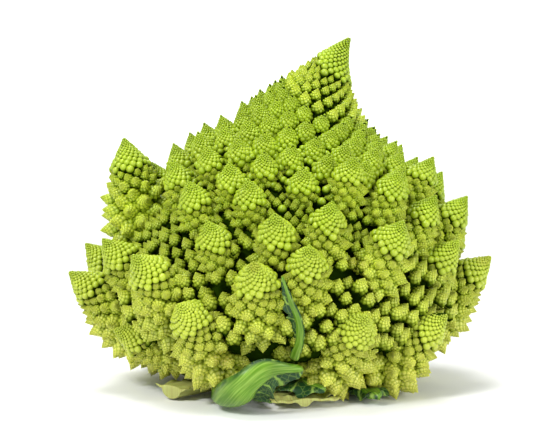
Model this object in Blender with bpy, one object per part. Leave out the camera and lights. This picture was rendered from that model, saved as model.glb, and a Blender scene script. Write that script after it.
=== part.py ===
"""A head of romanesco with its cut stalk and the trimmed leaves round it.

Units are metres and +Z is up. The origin is the centre of the stalk's cut face, which
the head stands on. The front of the head faces -Y.

The curd is one solid. Its florets follow a golden-angle spiral that winds down from the
tip, and each floret carries its own spiral of buds, raised from its surface.
"""

import math

import bmesh
import bpy
import numpy as np
from mathutils import Matrix, Vector

MM = 0.001
GOLDEN_ANGLE = math.radians(137.508)
TOUCHING_GAP = 0.4 * MM
OUTLINE_STEPS = 16
ROUTE_STEPS = 12

# The head: how far its tip stands above the cut face, and the outline that the tips of
# its florets lie on, as (depth below the tip, radius) in millimetres.
HEAD_HEIGHT = 145 * MM
HEAD_OUTLINE = [
    (0, 0), (14, 11.5), (24, 20.5), (32, 28.5), (40, 38.5), (47.5, 49.5),
    (56, 60), (66, 71), (80, 83), (94, 89), (103, 87), (110, 80),
]
HEAD_DEPTH_RATIO = 0.88
LOWEST_FLORET_TURN = math.radians(-149.8)

# Florets by their place along the outline from the tip, in millimetres: their width, and
# how steeply they point upwards, in degrees.
FLORET_WIDTHS = [
    (0, 0.5), (20, 2.6), (44, 5.6), (58, 12), (74, 16.5), (90, 21), (105, 25.5), (123, 31), (137, 33),
]
FLORET_SLOPES = [
    (0, 60), (44, 56), (74, 62), (90, 58), (105, 52), (123, 46), (137, 38), (155, 30),
]
FLORET_PACKING = 0.9

# The head leans to the right: its level sections slide along a bent spine, and near the
# tip they turn with it, from lower down on the left side than on the right.
SPINE_SWAY = 26 * MM
SPINE_SWAY_FROM = 17.5 * MM
SPINE_SWAY_POWER = 2.6
LEAN_AT_TIP = math.radians(27)
LEAN_POWER = 0.8
LEAN_FROM_LEFT = 80 * MM
LEAN_FROM_RIGHT = 104 * MM

# Florets that grew off the rule, counted up from the lowest: turn in degrees, then
# millimetres outwards and upwards.
FLORET_SHIFTS = {
    0: (0, -2, -6), 2: (-1, 0, 2), 5: (0, 0, 3), 7: (-3, -6, -8), 8: (0, 1, 4), 12: (0, 0, 2),
    13: (5, 0, 8), 15: (-12, 0, -6), 18: (7, 0, 0), 20: (0, -7, 0), 21: (0, -2, 0), 23: (-11, 0, 0),
    28: (-15, 2, 3), 29: (0, -3, 21), 31: (-2, 0, 4), 33: (0, 2, 4), 34: (-8, 0, -2),
    36: (-17, 0, 4), 39: (-4, 3, -6), 44: (6, 0, 8), 46: (0, 0, 4), 49: (0, 0, 6), 52: (-8, 0, 0),
    54: (0, 0, 7), 57: (0, 0, 8),
}
FLORET_GROWTH = {0: 0.72, 29: 1.25}
FLORET_SLOPE_CHANGES = {0: 20, 29: 70}
MISSING_FLORETS = (10, 42)

# A floret in units of its own width, as (depth below its tip, radius). Its buds are
# raised by this share of their own size.
FLORET_OUTLINE = [
    (0, 0), (0.15, 0.11), (0.36, 0.27), (0.56, 0.41), (0.75, 0.51), (0.93, 0.53), (1.12, 0.42),
]
FLORET_TAIL = 1.3
BUD_RISE = 0.6
SMALLEST_FLORET = 11 * MM

# How a floret's buds spiral, by its width: the narrowest it holds for, the numbers of
# spirals each way, and where along its outline the buds start.
BUD_SPIRALS = [(29 * MM, (5, 8), 0.33), (17 * MM, (3, 5), 0.27), (0, (2, 3), 0.2)]

# The crown is one cone of buds. The core fills the head behind the florets, down to a
# flat neck that sits on the stalk. Both lie under the outline by a share of the florets'
# width there.
CROWN_SPIRALS = (8, 13)
CROWN_START = 5 * MM
CROWN_REACH = 66 * MM
CROWN_DEPTH = 0.4
CROWN_STEPS = 6
CROWN_TAIL = 12 * MM
CORE_START = 30 * MM
CORE_DEPTH = 0.85
CORE_STEPS = 10
CORE_SIDES = 16
SHOULDER_RADIUS = 36.4 * MM
SHOULDER_HEIGHT = 16 * MM
NECK_RADIUS = 26 * MM
NECK_HEIGHT = 13 * MM
STALK_RADIUS = 18 * MM
STALK_FOOT_RADIUS = 16.5 * MM
STALK_SIDES = 24

# Each leaf: its midrib's route from the stalk outwards, the direction its upper face
# looks at the root and at the tip, the midrib's radius at root, middle and tip, the
# blade's width left and right of the midrib at root, middle and tip, how far both halves
# droop in degrees, and the height of the waves in the blade's edge. Lengths are in
# millimetres. The midrib's section is given in its own half-widths.
BLADE_THICKNESS = 1.0
MIDRIB_ABOVE = 0.15
MIDRIB_BELOW = 0.9
MIDRIB_FOOT = 0.55
WAVE_STEP = 2.2
WAVE_GROWTH = 4
LEAF_STATIONS = 9
LEAVES = {
    "leaf_front": dict(
        route=[(-10, -17.5, 7), (-20, -38, 7), (-19, -58, 8), (-13, -68, 15), (-4, -69, 20), (9, -65, 19)],
        faces=[(0, 0, 1), (0.1, 0.9, 0.2)], rib=[5, 6, 1.5], left=[0.5, 9, 10], right=[0.5, 1, 1],
        droop=10, wave=0.8,
    ),
    "leaf_front_low": dict(
        route=[(5, -19, 9), (8, -32, 9.5), (12, -46, 8), (18, -54, 5)],
        faces=[(0, 0, 1), (0, -0.6, 0.8)], rib=[2.5, 2, 1], left=[1, 9, 3], right=[1, 9, 3],
        droop=15, wave=1,
    ),
    "petiole_front": dict(
        route=[(3, -19, 4), (6, -32, 3.6), (9, -46, 3.2)],
        faces=[(0, 0, 1), (0, 0, 1)], rib=[2.6, 2.6, 2.2], left=[4, 7, 8], right=[4, 6, 7],
        droop=0, wave=0,
    ),
    "leaf_inner": dict(
        route=[(6, -57, 22), (8, -63, 30), (7.5, -68, 38), (4.5, -72, 46), (1, -73.5, 56)],
        faces=[(0.3, 0.95, 0.1), (0.3, 0.95, 0.1)], rib=[2.4, 1.6, 0.7],
        left=[0.5, 2, 0.5], right=[0.5, 2, 0.5], droop=0, wave=0.2,
    ),
    "petiole_left": dict(
        route=[(-17.5, -7.5, 5.2), (-30, -19, 5.2), (-44, -34, 5)],
        faces=[(0, 0, 1), (0, 0, 1)], rib=[4.4, 4.4, 4.2], left=[2, 3, 4], right=[2, 4, 5],
        droop=0, wave=0,
    ),
    "leaf_left": dict(
        route=[(-19.2, 2, 7.6), (-34, -2, 8.8), (-48, -8, 10), (-56, -12, 14)],
        faces=[(0, 0, 1), (0.5, 0, 0.8)], rib=[4, 3.4, 2.4], left=[1, 5, 7], right=[1, 5, 4],
        droop=10, wave=1,
    ),
    "leaf_right": dict(
        route=[(16.5, -11.5, 6), (27, -24, 5.4), (36, -38, 4.8), (40, -47, 5)],
        faces=[(0, 0, 1), (-0.3, 0.2, 0.9)], rib=[4, 3, 1.6], left=[1, 3, 4], right=[1, 3, 3],
        droop=20, wave=1.4,
    ),
    "leaf_right_low": dict(
        route=[(19, -0.5, 6), (34, -4, 7), (50, -12, 8)],
        faces=[(0, 0, 1), (0, 0, 1)], rib=[4, 3, 1.5], left=[1, 5, 6], right=[1, 5, 6],
        droop=15, wave=1.4,
    ),
    "leaf_right_back": dict(
        route=[(17, 9, 7), (32, 18, 8), (50, 24, 10)],
        faces=[(0, 0, 1), (0, 0, 1)], rib=[4.4, 3.4, 1.5], left=[1, 7, 7], right=[1, 7, 7],
        droop=12, wave=1.4,
    ),
    "leaf_back": dict(
        route=[(1, 20, 7), (0, 36, 6.5), (-2, 52, 7), (-4, 62, 10)],
        faces=[(0, 0, 1), (0, -0.4, 0.9)], rib=[5, 4, 2], left=[1, 9, 8], right=[1, 7, 6],
        droop=12, wave=1.4,
    ),
    "leaf_back_left": dict(
        route=[(-15, 13, 7), (-28, 24, 7), (-42, 36, 9)],
        faces=[(0, 0, 1), (0, 0, 1)], rib=[4.6, 3.6, 1.8], left=[1, 8, 7], right=[1, 8, 7],
        droop=12, wave=1.4,
    ),
}

COLOURS = {
    "curd": (0.42, 0.56, 0.05), "stalk": (0.62, 0.66, 0.3), "leaf": (0.06, 0.17, 0.04),
}


def smooth_line(points, steps):
    """A curve through the points, by Catmull and Rom's rule."""
    knots = [np.array(point, float) for point in points]
    knots = [2 * knots[0] - knots[1], *knots, 2 * knots[-1] - knots[-2]]
    line = []
    for a, b, c, d in zip(knots, knots[1:], knots[2:], knots[3:]):
        for step in range(steps):
            t = step / steps
            bend = (2 * a - 5 * b + 4 * c - d) * t**2 + (3 * b - a - 3 * c + d) * t**3
            line.append(b + 0.5 * ((c - a) * t + bend))
    return np.array([*line, knots[-2]])


class Outline:
    """A turned outline that is read by its length along the curve from the tip."""

    def __init__(self, points, unit):
        self.line = smooth_line(points, OUTLINE_STEPS) * unit
        steps = np.hypot(*np.diff(self.line, axis=0).T)
        self.along = np.concatenate([[0], np.cumsum(steps)])
        self.length = float(self.along[-1])

    def at(self, along):
        depth = np.interp(along, self.along, self.line[:, 0])
        radius = np.interp(along, self.along, self.line[:, 1])
        return float(depth), float(radius)


def read_table(table, along):
    places, values = zip(*table)
    return float(np.interp(along / MM, places, values))


def spine_x(height):
    share = max(0.0, (height - SPINE_SWAY_FROM) / (HEAD_HEIGHT - SPINE_SWAY_FROM))
    return SPINE_SWAY * share**SPINE_SWAY_POWER


def lean(height, turn):
    start = LEAN_FROM_RIGHT if math.cos(turn) > 0 else LEAN_FROM_LEFT
    return LEAN_AT_TIP * max(0.0, (height - start) / (HEAD_HEIGHT - start)) ** LEAN_POWER


def head_point(radius, turn, height):
    """A point of the leaning head, from its place on the upright one."""
    angle = lean(height, turn)
    across = radius * math.cos(turn)
    x = spine_x(height) + across * math.cos(angle)
    return Vector((x, HEAD_DEPTH_RATIO * radius * math.sin(turn), height - across * math.sin(angle)))


def head_direction(turn, slope, height):
    flat = math.cos(slope)
    upright = Vector((flat * math.cos(turn), flat * math.sin(turn), math.sin(slope)))
    return Matrix.Rotation(lean(height, turn), 3, "Y") @ upright


def floret_places(outline):
    """Each floret as (number, tip, direction, width, turn), from the lowest one up."""
    along, number, places = outline.length, 0, []
    width = read_table(FLORET_WIDTHS, along) * MM
    while width > SMALLEST_FLORET:
        depth, radius = outline.at(along)
        if number not in MISSING_FLORETS:
            turn_more, outwards, upwards = FLORET_SHIFTS.get(number, (0, 0, 0))
            slope = FLORET_SLOPE_CHANGES.get(number, read_table(FLORET_SLOPES, along))
            turn = LOWEST_FLORET_TURN - number * GOLDEN_ANGLE + math.radians(turn_more)
            height = HEAD_HEIGHT - depth + upwards * MM
            tip = head_point(radius + outwards * MM, turn, height)
            direction = head_direction(turn, math.radians(slope), height)
            places.append((number, tip, direction, width * FLORET_GROWTH.get(number, 1), turn))
        along -= FLORET_PACKING * width**2 / (2 * math.pi * radius)
        width = read_table(FLORET_WIDTHS, along) * MM
        number += 1
    return places


def spiral_body(name, outline, spirals, first, last, tail, place):
    """A closed body in a spiral of four-sided cells, each raised to a pointed bud.

    The cells' corners step round by the golden angle. The two numbers of spirals say
    which corners are neighbours, and place turns (radius, turn, depth) into a point.
    """
    near, far = spirals
    mesh = bmesh.new()
    corners, along = [], first
    while along < last:
        depth, radius = outline.at(along)
        corners.append(mesh.verts.new(place(radius, len(corners) * GOLDEN_ANGLE, depth)))
        along += 2 * math.pi * radius / (near**2 + far**2)
    ring = near + far
    cells = []
    for number in range(len(corners) - ring):
        steps = (number, number + near, number + ring, number + far)
        cells.append(mesh.faces.new([corners[step] for step in steps]))
    for end_depth, start in ((0, 0), (tail, len(corners) - ring)):
        numbers = list(range(start, start + ring))
        numbers.sort(key=lambda number: number * GOLDEN_ANGLE % math.tau)
        end = mesh.verts.new(place(0, 0, end_depth))
        for a, b in zip(numbers, numbers[1:] + numbers[:1]):
            mesh.faces.new((end, corners[a], corners[b]))
    bmesh.ops.recalc_face_normals(mesh, faces=mesh.faces)
    if mesh.calc_volume(signed=True) < 0:
        bmesh.ops.reverse_faces(mesh, faces=mesh.faces)
    bmesh.ops.poke(mesh, faces=cells, offset=BUD_RISE, center_mode="MEAN", use_relative_offset=True)
    bmesh.ops.triangulate(mesh, faces=mesh.faces)
    return object_from(mesh, name)


def object_from(mesh, name):
    data = bpy.data.meshes.new(name)
    mesh.to_mesh(data)
    mesh.free()
    return bpy.data.objects.new(name, data)


def floret(outline, number, tip, direction, width, turn):
    """One floret, with fewer and larger buds where it is small."""
    pose = Matrix.Translation(tip) @ direction.to_track_quat("Z", "Y").to_matrix().to_4x4()
    pose = pose @ Matrix.Rotation(turn, 4, "Z") @ Matrix.Scale(width, 4)

    def place(radius, angle, depth):
        return pose @ Vector((radius * math.cos(angle), radius * math.sin(angle), -depth))

    _, spirals, first = next(row for row in BUD_SPIRALS if width > row[0])
    return spiral_body(f"floret_{number}", outline, spirals, first, outline.length, FLORET_TAIL, place)


def inset_outline(outline, start, end, steps, share):
    """The outline as (depth, radius) points, moved in along the florets' slope."""
    points = []
    for along in np.linspace(start, end, steps):
        depth, radius = outline.at(along)
        slope = math.radians(read_table(FLORET_SLOPES, along))
        inset = share * read_table(FLORET_WIDTHS, along) * MM
        points.append((depth + inset * math.sin(slope), radius - inset * math.cos(slope)))
    return points


def crown(outline):
    """The cone of buds at the head's tip."""

    def place(radius, angle, depth):
        return head_point(radius, angle, HEAD_HEIGHT - depth)

    points = inset_outline(outline, CROWN_START, CROWN_REACH, CROWN_STEPS, CROWN_DEPTH)
    under = Outline([(0, 0), *points], 1)
    depth, _ = under.at(under.length)
    tail = depth + CROWN_TAIL
    return spiral_body("crown", under, CROWN_SPIRALS, CROWN_START, under.length, tail, place)


def core_rings(outline):
    """The core's outline as (radius, height), from its top to the neck's flat face."""
    points = inset_outline(outline, CORE_START, outline.length, CORE_STEPS, CORE_DEPTH)
    rings = [(radius, HEAD_HEIGHT - depth) for depth, radius in points]
    return [*rings, (SHOULDER_RADIUS, SHOULDER_HEIGHT), (NECK_RADIUS, NECK_HEIGHT)]


def core(outline):
    """The solid middle of the head, which the florets stand out of."""
    mesh = bmesh.new()
    loops = []
    for radius, height in core_rings(outline):
        turns = [math.tau * side / CORE_SIDES for side in range(CORE_SIDES)]
        loops.append([mesh.verts.new(head_point(radius, turn, height)) for turn in turns])
    for upper, lower in zip(loops, loops[1:]):
        for side in range(CORE_SIDES):
            after = (side + 1) % CORE_SIDES
            mesh.faces.new((upper[side], lower[side], lower[after], upper[after]))
    mesh.faces.new(loops[0])
    mesh.faces.new(loops[-1][::-1])
    bmesh.ops.triangulate(mesh, faces=mesh.faces)
    bmesh.ops.recalc_face_normals(mesh, faces=mesh.faces)
    return object_from(mesh, "core")


def keep_largest_shell(data):
    """Drops loose scraps and sealed hollows that joining the florets leaves."""
    mesh = bmesh.new()
    mesh.from_mesh(data)
    left, shells = set(mesh.verts), []
    while left:
        shell, edge_of_shell = set(), [left.pop()]
        while edge_of_shell:
            vert = edge_of_shell.pop()
            shell.add(vert)
            for edge in vert.link_edges:
                other = edge.other_vert(vert)
                if other in left:
                    left.discard(other)
                    edge_of_shell.append(other)
        shells.append(shell)
    shells.sort(key=len)
    for shell in shells[:-1]:
        bmesh.ops.delete(mesh, geom=list(shell), context="VERTS")
    mesh.to_mesh(data)
    mesh.free()


def build_curd(material):
    """The whole curd: florets, crown and core, joined into one body."""
    head_outline = Outline(HEAD_OUTLINE, MM)
    floret_outline = Outline(FLORET_OUTLINE, 1)
    pieces = bpy.data.collections.new("curd_pieces")
    bpy.context.scene.collection.children.link(pieces)
    pieces.objects.link(crown(head_outline))
    for place in floret_places(head_outline):
        pieces.objects.link(floret(floret_outline, *place))
    curd = core(head_outline)
    curd.name = "curd"
    bpy.context.scene.collection.objects.link(curd)
    union = curd.modifiers.new("union", "BOOLEAN")
    union.operation = "UNION"
    union.operand_type = "COLLECTION"
    union.collection = pieces
    union.solver = "MANIFOLD"
    evaluated = curd.evaluated_get(bpy.context.evaluated_depsgraph_get())
    joined = bpy.data.meshes.new_from_object(evaluated)
    curd.modifiers.clear()
    curd.data = joined
    for piece in list(pieces.objects):
        bpy.data.objects.remove(piece)
    bpy.data.collections.remove(pieces)
    keep_largest_shell(curd.data)
    curd.data.materials.clear()
    curd.data.materials.append(material)
    return curd


def build_stalk(material):
    """The stump that the head was cut on, from its flat cut face up to the neck."""
    mesh = bmesh.new()
    top = NECK_HEIGHT - TOUCHING_GAP
    bmesh.ops.create_cone(
        mesh, cap_ends=True, segments=STALK_SIDES, radius1=STALK_FOOT_RADIUS, radius2=STALK_RADIUS,
        depth=top, matrix=Matrix.Translation((0, 0, top / 2)),
    )
    stalk = object_from(mesh, "stalk")
    stalk.data.materials.append(material)
    bpy.context.scene.collection.objects.link(stalk)
    return stalk


def leaf_section(centre, ahead, face, rib, left, right, droop, wave):
    """The corners of a leaf's cross-section: the upper side first, left to right."""
    across = ahead.cross(face).normalized()
    upwards = across.cross(ahead).normalized()
    half = BLADE_THICKNESS / 2
    fall = math.sin(math.radians(droop))
    reach = math.cos(math.radians(droop))
    left_x, left_y = -rib - left * reach, -left * fall + wave
    right_x, right_y = rib + right * reach, -right * fall - wave
    foot_x, foot_y = MIDRIB_FOOT * rib, -half - MIDRIB_BELOW * rib
    flat = [
        (left_x, left_y + half), (-rib, half), (0, half + MIDRIB_ABOVE * rib), (rib, half),
        (right_x, right_y + half), (right_x, right_y - half), (rib, -half),
        (foot_x, foot_y), (-foot_x, foot_y), (-rib, -half), (left_x, left_y - half),
    ]
    return [(centre + across * x + upwards * y) * MM for x, y in flat]


def leaf_sections(leaf):
    """The leaf's cross-sections, from its root to its tip."""
    line = smooth_line(leaf["route"], ROUTE_STEPS)
    shares = np.linspace(0, 1, LEAF_STATIONS)
    places = np.linspace(0, 1, len(line))
    centres = [Vector([np.interp(share, places, column) for column in line.T]) for share in shares]
    sections = []
    for station, share in enumerate(shares):
        before = centres[max(station - 1, 0)]
        after = centres[min(station + 1, LEAF_STATIONS - 1)]
        ahead = (after - before).normalized()
        face = Vector(leaf["faces"][0]).lerp(Vector(leaf["faces"][1]), share)
        widths = [float(np.interp(share, (0, 0.5, 1), leaf[key])) for key in ("rib", "left", "right")]
        wave = leaf["wave"] * math.sin(station * WAVE_STEP) * min(1, WAVE_GROWTH * share)
        sections.append(leaf_section(centres[station], ahead, face, *widths, leaf["droop"], wave))
    return sections


def build_leaf(name, leaf, material):
    """A leaf with its midrib under it, cut off square at the stalk and at the tip."""
    mesh = bmesh.new()
    loops = [[mesh.verts.new(point) for point in section] for section in leaf_sections(leaf)]
    corners = len(loops[0])
    for near, far in zip(loops, loops[1:]):
        for corner in range(corners):
            after = (corner + 1) % corners
            if corner < corners // 2:
                mesh.faces.new((near[corner], near[after], far[after]))
                mesh.faces.new((near[corner], far[after], far[corner]))
            else:
                mesh.faces.new((near[corner], near[after], far[corner]))
                mesh.faces.new((near[after], far[after], far[corner]))
    mesh.faces.new(loops[0][::-1])
    mesh.faces.new(loops[-1])
    bmesh.ops.recalc_face_normals(mesh, faces=mesh.faces)
    leaf_object = object_from(mesh, name)
    leaf_object.data.materials.append(material)
    bpy.context.scene.collection.objects.link(leaf_object)
    return leaf_object


def make_material(name):
    material = bpy.data.materials.new(name)
    material.use_nodes = True
    shader = material.node_tree.nodes["Principled BSDF"]
    shader.inputs["Base Color"].default_value = (*COLOURS[name], 1)
    shader.inputs["Roughness"].default_value = 0.5
    return material


def main():
    for thing in list(bpy.data.objects):
        bpy.data.objects.remove(thing)
    build_curd(make_material("curd"))
    build_stalk(make_material("stalk"))
    leaf_green = make_material("leaf")
    for name, leaf in LEAVES.items():
        build_leaf(name, leaf, leaf_green)


if __name__ == "__main__":
    main()
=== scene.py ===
"""A head of romanesco: spiralling florets on a cut stalk, with trimmed leaves round it.

Units are metres and +Z is up. The head stands on its cut stalk at the origin, and its
front faces -Y. The curd grows by one rule at three sizes: florets spiral down the head,
buds spiral down each floret, and bumps spiral down each bud.
"""

import math
import random

import bmesh
import bpy
import numpy as np
from bpy.props import FloatProperty, FloatVectorProperty, IntProperty, PointerProperty
from mathutils import Matrix, Vector, noise
from mathutils.bvhtree import BVHTree


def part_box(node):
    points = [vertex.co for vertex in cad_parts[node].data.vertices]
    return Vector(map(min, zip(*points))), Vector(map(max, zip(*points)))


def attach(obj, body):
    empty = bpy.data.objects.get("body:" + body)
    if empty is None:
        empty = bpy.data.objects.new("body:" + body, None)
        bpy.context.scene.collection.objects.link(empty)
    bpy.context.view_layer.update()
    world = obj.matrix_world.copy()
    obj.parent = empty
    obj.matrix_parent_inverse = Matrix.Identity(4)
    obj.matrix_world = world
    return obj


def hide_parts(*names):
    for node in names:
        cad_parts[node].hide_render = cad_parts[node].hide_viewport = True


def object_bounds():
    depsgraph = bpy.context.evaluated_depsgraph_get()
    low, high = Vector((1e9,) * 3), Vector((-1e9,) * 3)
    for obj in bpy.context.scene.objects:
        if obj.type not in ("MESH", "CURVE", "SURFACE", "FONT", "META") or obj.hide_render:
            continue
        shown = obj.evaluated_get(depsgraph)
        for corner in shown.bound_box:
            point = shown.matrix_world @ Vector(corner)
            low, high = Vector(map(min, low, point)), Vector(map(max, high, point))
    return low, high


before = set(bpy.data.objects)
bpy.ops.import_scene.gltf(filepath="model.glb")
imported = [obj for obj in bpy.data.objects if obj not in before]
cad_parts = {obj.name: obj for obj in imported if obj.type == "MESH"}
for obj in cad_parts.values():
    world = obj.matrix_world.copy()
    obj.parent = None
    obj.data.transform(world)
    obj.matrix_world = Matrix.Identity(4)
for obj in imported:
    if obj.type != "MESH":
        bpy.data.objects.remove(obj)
CAD_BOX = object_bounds()

bl_info = {
    "name": "Romanesco head",
    "version": (1, 0, 0),
    "blender": (4, 5, 0),
    "location": "3D View > Sidebar > Romanesco",
    "description": "Grows a head of romanesco with its stalk and leaves",
    "category": "Object",
}

MM = 0.001
GOLDEN_ANGLE = math.radians(137.508)
# Steps of a curve between two points of an outline, and how near two points are one, in metres.
OUTLINE_STEPS = 16
SAME_PLACE = 1e-7

# The outline that the florets' tips lie on, as (depth below the head's tip, radius), and
# the florets' width and slope by their place along it, in millimetres and degrees.
HEAD_OUTLINE = [
    (0, 0), (14, 11.5), (24, 20.5), (32, 28.5), (40, 38.5), (47.5, 49.5),
    (56, 60), (66, 71), (80, 83), (94, 89), (103, 87), (110, 80),
]
FLORET_WIDTHS = [
    (0, 0.7), (8, 1.4), (15, 2.6), (21, 4.1), (28, 5.6), (34, 7), (42, 8.8), (50, 10.4), (58, 12),
    (74, 16.5), (90, 21), (105, 25.5), (123, 31), (137, 33),
]
FLORET_SLOPES = [
    (0, 60), (44, 56), (74, 62), (90, 58), (105, 52), (123, 46), (137, 38), (155, 30),
]
FLORET_PACKING = 0.9
# Between the crown and the middle, the florets fill less of the room that they stand in.
FLORET_ROOM = [(16, 1), (26, 0.88), (60, 0.92), (80, 1)]
LOWEST_FLORET_TURN = math.radians(-149.8)
HEAD_DEPTH_RATIO = 0.88
SPINE_SWAY_FROM = 17.5 * MM
SPINE_SWAY_POWER = 2.6
LEAN_POWER = 0.8
LEAN_FROM_LEFT = 80 * MM
LEAN_FROM_RIGHT = 104 * MM

# Florets that grew off the rule, counted up from the lowest: degrees round the head, then
# millimetres outwards and upwards.
FLORET_SHIFTS = {
    0: (0, -2, -6), 2: (-1, 0, 2), 5: (0, 0, 3), 7: (-3, -6, -8), 8: (0, 1, 4), 12: (0, 0, 2),
    13: (5, 0, 8), 15: (-12, 0, -6), 18: (7, 0, 0), 20: (0, -7, 0), 21: (0, -2, 0), 23: (-11, 0, 0),
    28: (-15, 2, 3), 29: (0, -3, 21), 31: (-2, 0, 4), 33: (0, 2, 4), 34: (-8, 0, -2),
    36: (-17, 0, 4), 39: (-4, 3, -6), 44: (6, 0, 8), 46: (0, 0, 4), 49: (0, 0, 6), 52: (-8, 0, 0),
    54: (0, 0, 7), 57: (0, 0, 8),
}
FLORET_GROWTH = {0: 0.72, 29: 1.25}
FLORET_SLOPE_CHANGES = {0: 20, 29: 70}
MISSING_FLORETS = (10, 42)
FIRST_CROWN_BUD = 1 * MM
# The very tip hooks over: how far down it starts, and how far the tip goes right and up.
HOOK_DEPTH = 15 * MM
HOOK_REACH = (4 * MM, 2.2 * MM)
# High on the left, a floret is as wide as one this much further down. It ends at this place
# along the head's outline, and fades over the stretch above it, in millimetres.
CROWN_STRETCH = 0.45
CROWN_STRETCH_END = 62
CROWN_STRETCH_FADE = 12
# A floret doesn't grow nearer than this to a neighbour's tip, in its own widths.
CROWDING = 0.7
CROWDING_NEIGHBOURS = 40
# The core lies under the florets by a share of their width, which counts as this many
# millimetres or more.
LEAST_INSET_WIDTH = 2.4

# Outlines as (depth below the tip, radius), in widths of the floret or the bud.
FLORET_OUTLINE = [
    (0, 0), (0.06, 0.042), (0.15, 0.105), (0.36, 0.25), (0.56, 0.38), (0.75, 0.48),
    (0.93, 0.53), (1.15, 0.55), (1.4, 0.52), (1.6, 0.42),
]
CORE_OUTLINE = [
    (0.04, 0), (0.16, 0.08), (0.36, 0.18), (0.56, 0.24), (0.75, 0.28), (1.1, 0.32), (1.5, 0.28),
]
BUD_OUTLINE = [
    (0, 0), (0.1, 0.065), (0.34, 0.205), (0.61, 0.345), (0.88, 0.455), (1.1, 0.48),
]
# The buds' width by their place along a floret's outline, both in floret widths.
BUD_WIDTHS = [
    (0, 0.025), (0.15, 0.038), (0.25, 0.055), (0.38, 0.082), (0.5, 0.115), (0.63, 0.165),
    (0.76, 0.23), (0.95, 0.29), (1.3, 0.31),
]
BUD_SLOPES = [(0, 58), (0.5, 42), (1.0, 18), (1.5, -12)]
BUD_PACKING = 0.8
FIRST_BUD = 0.03
SMALLEST_BUD = 1.05 * MM
# How far single buds depart from the rule: in degrees, in spacings and in spacings.
BUD_SLOPE_SPREAD = 6
BUD_OUT_SPREAD = 0.12
BUD_WIDTH_SPREAD = (0.96, 1.16)
# A bud counts as hidden by the place of its middle, this far below its tip in widths.
BUD_MIDDLE = 0.3

# Wide buds have bumps of their own, in two sets of spirals that start below the tip. Narrower
# ones are smooth balls, with their radius, their stretch and their middle's depth in widths.
BUMPY_FROM = 3.7 * MM
SMOOTH_FROM = 1.3 * MM
BUD_SPIRALS = (5, 8)
BUD_SPIRALS_FROM = 0.08
BEAD_RISE = 0.6
BALL_RADIUS = 0.53
BALL_STRETCH = 1.15
BALL_MIDDLE = 0.5
CELL_CORNERS = ((0, 0), (1, 0), (1, 1), (0, 1))
CELL_MIDDLE = (0.5, 0.5)
CELL_EDGE = (0, 0.5)
# A bud's colour is painted with shade that darkens it to nothing this far below its tip, over this depth, in
# bud widths.
# The balls' painted light is less bright, because they have no painted shade round bumps.
BUD_SHADED_TO = 0.78
BUD_SHADE = 0.42
BALL_SHADED_TO = 0.47
BALL_SHADE = 0.4
BALL_BRIGHTNESS = 0.5

# Buds between the florets: where they start along the head, their width in floret widths, how
# deep they stand in the same unit, and the spread of their widths.
GAP_BUDS_FROM = 50 * MM
GAP_BUD_SHARE = 0.235
GAP_BUD_INSET = (0.5, 0.72)
GAP_BUD_SPREAD = (0.85, 1.15)
GAP_BUD_SEED = 3
CROWN_BUD_SPREAD = (1.06, 1.24)
CROWN_SEED = 5

# Buds that would lie lower than this are lifted to it, so that none is under the floor.
REST_HEIGHT = 0.2 * MM
# Small florets are blunter: their height by their width in millimetres.
FLORET_HEIGHTS = [(7, 0.9), (14, 0.95), (24, 1)]
# A bud is hidden inside this share of another floret's radius, down to this depth in its
# widths. Its colour is painted in full light where it stands clear of the middle by this share of a
# floret's width, and in painted shade nearer to it. The middle lies under the florets' tips by a share of
# their width.
HIDDEN_SHARE = 0.85
HIDDEN_DEPTH = 1.4
OPEN_FROM = 0.42
SEEN_DEPTH = 0.85
CORE_DEPTH = 0.98
CORE_SIDES = 48
CORE_RINGS = 40
FLORET_CORE_SIDES = 20
# The core's shares from the top to the neck: down the outside, then in under the head.
CORE_OUTSIDE = 0.8
CORE_UNDERSIDE = 0.1
NECK_RADIUS = 22 * MM
NECK_HEIGHT = 13 * MM

# The branches of the lowest florets: how deep in a floret they end, where they start (out and
# up), where they bend (along, and down in floret widths), and their radii in floret widths.
BRANCHES = 30
BRANCH_END = 0.9
BRANCH_START = (12 * MM, 15 * MM)
BRANCH_BEND = (0.55, 0.12)
BRANCH_RADII = (0.2, 0.17, 0.27)
BRANCH_SIDES = 14
BRANCH_STEPS = 6

# The stalk's outline, from the middle of its top to its cut face, as shares of its height and
# of its radius. It has two sets of ridges: how many, where they start and how high they are.
STALK_OUTLINE = [
    (1, 0), (1, 0.8), (0.97, 0.98), (0.6, 1), (0.2, 0.95), (0.05, 0.92), (0, 0.88), (0, 0.6),
    (0, 0.3),
]
STALK_SIDES = 72
STALK_NARROWING = 0.96
STALK_RIDGES = ((5, 1, 0.035), (13, 0, 0.02))

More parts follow.
